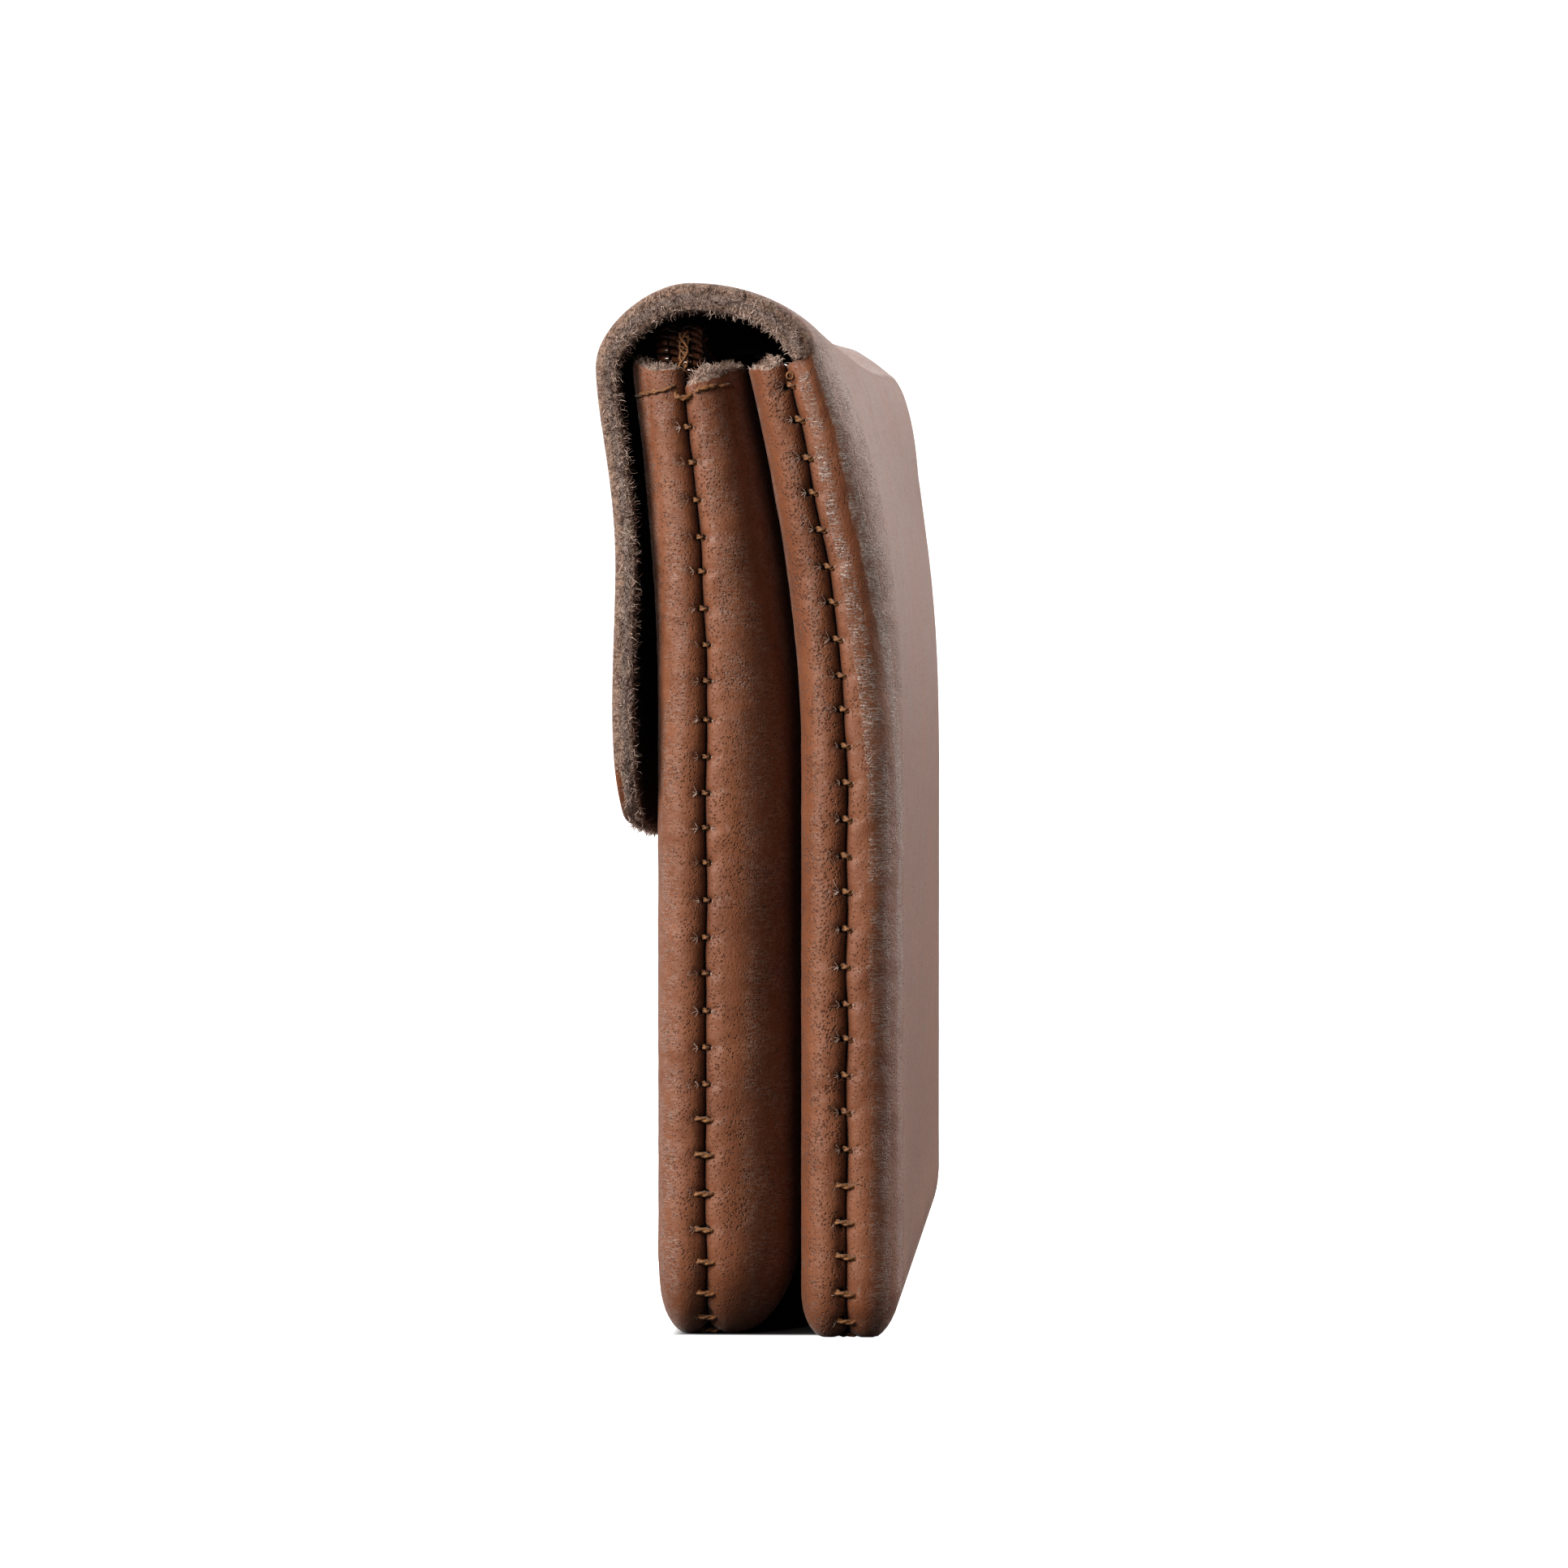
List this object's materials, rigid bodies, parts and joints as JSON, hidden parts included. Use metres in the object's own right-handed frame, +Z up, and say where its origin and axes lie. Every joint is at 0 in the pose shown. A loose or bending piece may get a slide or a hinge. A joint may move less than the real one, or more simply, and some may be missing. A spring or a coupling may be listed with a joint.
{
  "type": "leather flap pouch case",
  "caption": "Small leather case of two sewn pockets, one zipped, under a front flap that folds over both mouths from the back and closes with a press stud.",
  "frame": {"origin": "middle of the footprint, on the surface that the case stands on", "axes": "+Z up, +X along the length, -Y the flap side"},
  "size_m": [0.11, 0.0242, 0.0817],
  "materials": {
    "flap_leather": "smooth vegetable-tanned grain, raw cut edges",
    "pocket_leather": "smooth vegetable-tanned grain with fine pores",
    "thread": "twisted polyester sewing thread",
    "zip_tape": "woven tape",
    "zip_coil": "glossy nylon",
    "stud_metal": "aged brass",
    "zip_metal": "aged brass"
  },
  "bodies": {
    "pouch": {"back_panel": "flap_leather", "rear_pocket_front": "pocket_leather", "front_pocket_back": "pocket_leather", "front_pocket_front": "pocket_leather", "rear_seam_thread": "thread", "front_seam_thread": "thread", "joining_thread": "thread", "mouth_thread_front": "thread", "mouth_thread_back": "thread", "zip_tape_front": "zip_tape", "zip_tape_back": "zip_tape", "zip_coil_front": "zip_coil", "zip_coil_back": "zip_coil", "zip_end_tacks": "thread", "snap_stud": "stud_metal", "snap_post": "stud_metal"},
    "flap": {"flap": "flap_leather", "snap_cap": "stud_metal", "snap_socket": "stud_metal"},
    "slider": {"slider_body": "zip_metal", "slider_bail": "zip_metal"},
    "pull": {"pull_tab": "zip_metal"}
  },
  "joints": [
    {"name": "flap_hinge", "type": "hinge", "parent": "pouch", "child": "flap", "pos_m": [0, 0.00593, 0.0768], "axis": [-1, 0, 0], "range_deg": [0, 170]},
    {"name": "zip_slide", "type": "slide", "parent": "pouch", "child": "slider", "axis": [1, 0, 0], "range_m": [0, 0.075]},
    {"name": "pull_swing", "type": "hinge", "parent": "slider", "child": "pull", "pos_m": [-0.039, -0.0051, 0.0776], "axis": [0, -1, 0], "range_deg": [0, 3]}
  ]
}
